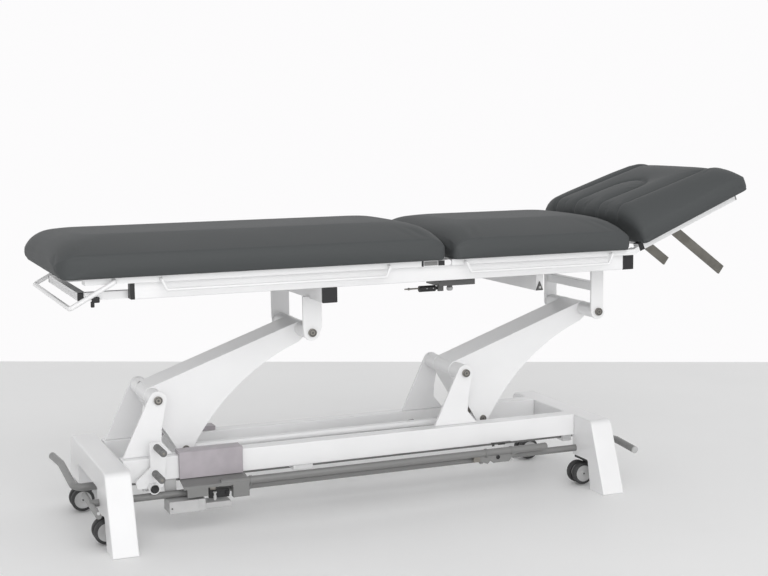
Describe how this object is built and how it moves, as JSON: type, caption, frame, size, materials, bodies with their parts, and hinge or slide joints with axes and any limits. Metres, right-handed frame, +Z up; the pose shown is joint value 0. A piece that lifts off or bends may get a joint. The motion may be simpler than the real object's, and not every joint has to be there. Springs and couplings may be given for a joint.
{
  "type": "treatment table",
  "caption": "Height adjustable treatment table with a padded leg, middle and head section on a parallelogram lift, a splayed white base and lowering castors.",
  "frame": {"origin": "centre of the table's box at floor level", "axes": "+X towards the head section, +Z up, -Y the side with the foot bar"},
  "size_m": [1.9984, 0.6144, 0.9317],
  "materials": {
    "white_paint": "gloss",
    "grey_paint": "satin",
    "dark_paint": "satin",
    "cover_leather": "matte",
    "cover_plastic": "satin",
    "light_plastic": "matte",
    "black_plastic": "matte",
    "steel": "brushed",
    "tyre": "matte"
  },
  "bodies": {
    "base": {"portal_foot_end": "white_paint", "portal_head_end": "white_paint", "base_rail_near": "white_paint", "base_rail_far": "white_paint", "tower_foot_near": "white_paint", "tower_foot_far": "white_paint", "tower_head_near": "white_paint", "tower_head_far": "white_paint", "control_cover_near": "cover_plastic", "control_cover_far": "cover_plastic", "cover_bracket": "dark_paint", "control_box": "light_plastic", "actuator_anchor": "white_paint", "rocker_bearing": "white_paint", "pin_foot_lower": "steel", "pin_head_lower": "steel"},
    "foot_bar": {"foot_bar": "grey_paint"},
    "near_shaft": {"near_shaft": "grey_paint"},
    "rocker": {"rocker_plate": "white_paint"},
    "castor_shaft": {"castor_shaft": "grey_paint"},
    "castor_carriers": {"castor_plate_foot_near": "black_plastic", "castor_plate_foot_far": "black_plastic", "castor_plate_head_near": "black_plastic", "castor_plate_head_far": "black_plastic"},
    "arm_foot": {"lift_arm_foot": "white_paint", "pin_foot_upper": "steel"},
    "arm_head": {"lift_arm_head": "white_paint"},
    "tie_rod": {"tie_rod": "white_paint"},
    "actuator_rod": {"actuator_rod": "steel"},
    "actuator_body": {"actuator_body": "grey_paint"},
    "top_frame": {"top_rail_near": "white_paint", "top_rail_far": "white_paint", "hanger_foot": "white_paint", "hanger_head": "white_paint", "foot_stretcher": "white_paint", "lever_bracket": "dark_paint", "pin_head_upper": "steel", "leg_frame": "white_paint", "leg_pad": "cover_leather", "leg_rod_near": "white_paint", "leg_rod_far": "white_paint"},
    "release_lever": {"release_lever": "black_plastic"},
    "paper_holder": {"paper_holder": "white_paint"},
    "mid_section": {"mid_frame": "white_paint", "mid_pad": "cover_leather", "mid_rod_near": "white_paint", "mid_rod_far": "white_paint"},
    "gas_spring_body": {"gas_spring_body": "dark_paint"},
    "gas_spring_rod": {"gas_spring_rod": "steel"},
    "head_section": {"head_frame": "white_paint", "head_pad": "cover_leather"},
    "head_levers": {"head_levers": "steel"},
    "castor_yoke_foot_near": {"castor_yoke_foot_near": "black_plastic"},
    "castor_wheels_foot_near": {"castor_wheels_foot_near": "tyre"},
    "castor_yoke_foot_far": {"castor_yoke_foot_far": "black_plastic"},
    "castor_wheels_foot_far": {"castor_wheels_foot_far": "tyre"},
    "castor_yoke_head_near": {"castor_yoke_head_near": "black_plastic"},
    "castor_wheels_head_near": {"castor_wheels_head_near": "tyre"},
    "castor_yoke_head_far": {"castor_yoke_head_far": "black_plastic"},
    "castor_wheels_head_far": {"castor_wheels_head_far": "tyre"}
  },
  "joints": [
    {"name": "lift", "type": "hinge", "parent": "base", "child": "arm_foot", "pos_m": [-0.7276, 0, 0.3472], "axis": [0, -1, 0], "range_deg": [-31, 27.5]},
    {"name": "arm_head_turn", "type": "hinge", "parent": "base", "child": "arm_head", "pos_m": [0.1516, 0, 0.3472], "axis": [0, -1, 0], "range_deg": [-31, 27.5]},
    {"name": "top_level", "type": "hinge", "parent": "arm_foot", "child": "top_frame", "pos_m": [-0.3107, 0, 0.4978], "axis": [0, -1, 0], "range_deg": [-27.5, 31]},
    {"name": "tie_level", "type": "hinge", "parent": "arm_foot", "child": "tie_rod", "pos_m": [-0.6412, -0.03, 0.196], "axis": [0, -1, 0], "range_deg": [-27.5, 31]},
    {"name": "screw_tilt", "type": "hinge", "parent": "arm_head", "child": "actuator_rod", "pos_m": [0.238, 0.025, 0.196], "axis": [0, -1, 0], "range_deg": [-24.4, 27.5]},
    {"name": "screw_stroke", "type": "slide", "parent": "actuator_rod", "child": "actuator_body", "axis": [-0.989, 0, -0.1482], "range_m": [-0.0885, 0.0785]},
    {"name": "mid_tilt", "type": "hinge", "parent": "top_frame", "child": "mid_section", "pos_m": [0.0353, 0, 0.6795], "axis": [0, -1, 0], "range_deg": [0, 21]},
    {"name": "gas_spring_tilt", "type": "hinge", "parent": "top_frame", "child": "gas_spring_body", "pos_m": [0.1208, -0.155, 0.64], "axis": [0, -1, 0], "range_deg": [0, 28.3]},
    {"name": "gas_spring_stroke", "type": "slide", "parent": "gas_spring_body", "child": "gas_spring_rod", "axis": [1, 0, 0], "range_m": [0, 0.0214]},
    {"name": "head_tilt", "type": "hinge", "parent": "mid_section", "child": "head_section", "pos_m": [0.6258, 0, 0.681], "axis": [0, -1, 0], "range_deg": [-54, 10]},
    {"name": "head_lever_turn", "type": "hinge", "parent": "head_section", "child": "head_levers", "pos_m": [0.78771, 0, 0.75002], "axis": [0, -1, 0], "range_deg": [-12, 12], "stiffness_Nm_per_rad": 30},
    {"name": "release_squeeze", "type": "hinge", "parent": "top_frame", "child": "release_lever", "pos_m": [0.0358, -0.2, 0.6045], "axis": [0, 1, 0], "range_deg": [0, 8], "stiffness_Nm_per_rad": 2, "springref_deg": -5.73},
    {"name": "paper_holder_swing", "type": "hinge", "parent": "top_frame", "child": "paper_holder", "pos_m": [-0.8592, 0, 0.6795], "axis": [0, 1, 0], "range_deg": [-50, 25]},
    {"name": "foot_bar_press", "type": "hinge", "parent": "base", "child": "foot_bar", "pos_m": [-0.1692, -0.15, 0.104], "axis": [1, 0, 0], "range_deg": [0, 8], "stiffness_Nm_per_rad": 40, "springref_deg": -2.86},
    {"name": "near_shaft_turn", "type": "hinge", "parent": "base", "child": "near_shaft", "pos_m": [-0.1692, -0.15, 0.104], "axis": [1, 0, 0], "range_deg": [-10, 10], "stiffness_Nm_per_rad": 12},
    {"name": "rocker_tip", "type": "hinge", "parent": "base", "child": "rocker", "pos_m": [-0.7552, -0.155, 0.129], "axis": [0, -1, 0], "range_deg": [-10, 10], "stiffness_Nm_per_rad": 20},
    {"name": "castor_shaft_turn", "type": "hinge", "parent": "base", "child": "castor_shaft", "pos_m": [-0.1692, -0.03, 0.1165], "axis": [1, 0, 0], "range_deg": [-12, 0]},
    {"name": "castor_lower", "type": "slide", "parent": "base", "child": "castor_carriers", "axis": [0, 0, -1], "range_m": [0, 0.0101]},
    {"name": "swivel_foot_near", "type": "hinge", "parent": "castor_carriers", "child": "castor_yoke_foot_near", "pos_m": [-0.8592, -0.165, 0.035], "axis": [0, 0, 1], "continuous": true},
    {"name": "roll_foot_near", "type": "hinge", "parent": "castor_yoke_foot_near", "child": "castor_wheels_foot_near", "pos_m": [-0.8832, -0.165, 0.035], "axis": [0, 1, 0], "continuous": true},
    {"name": "swivel_foot_far", "type": "hinge", "parent": "castor_carriers", "child": "castor_yoke_foot_far", "pos_m": [-0.8592, 0.165, 0.035], "axis": [0, 0, 1], "continuous": true},
    {"name": "roll_foot_far", "type": "hinge", "parent": "castor_yoke_foot_far", "child": "castor_wheels_foot_far", "pos_m": [-0.8832, 0.165, 0.035], "axis": [0, 1, 0], "continuous": true},
    {"name": "swivel_head_near", "type": "hinge", "parent": "castor_carriers", "child": "castor_yoke_head_near", "pos_m": [0.5208, -0.165, 0.035], "axis": [0, 0, 1], "continuous": true},
    {"name": "roll_head_near", "type": "hinge", "parent": "castor_yoke_head_near", "child": "castor_wheels_head_near", "pos_m": [0.4968, -0.165, 0.035], "axis": [0, 1, 0], "continuous": true},
    {"name": "swivel_head_far", "type": "hinge", "parent": "castor_carriers", "child": "castor_yoke_head_far", "pos_m": [0.5208, 0.165, 0.035], "axis": [0, 0, 1], "continuous": true},
    {"name": "roll_head_far", "type": "hinge", "parent": "castor_yoke_head_far", "child": "castor_wheels_head_far", "pos_m": [0.4968, 0.165, 0.035], "axis": [0, 1, 0], "continuous": true}
  ],
  "couplings": [
    {"joint": "arm_head_turn", "follows": "lift", "ratio": 1},
    {"joint": "top_level", "follows": "lift", "ratio": -1},
    {"joint": "tie_level", "follows": "lift", "ratio": -1},
    {"joint": "screw_tilt", "follows": "lift", "ratio": -0.885},
    {"joint": "screw_stroke", "follows": "lift", "m_per_rad": 0.163},
    {"joint": "gas_spring_tilt", "follows": "mid_tilt", "ratio": 1.345},
    {"joint": "gas_spring_stroke", "follows": "mid_tilt", "m_per_rad": 0.058},
    {"joint": "castor_lower", "follows": "castor_shaft_turn", "m_per_rad": -0.048}
  ]
}
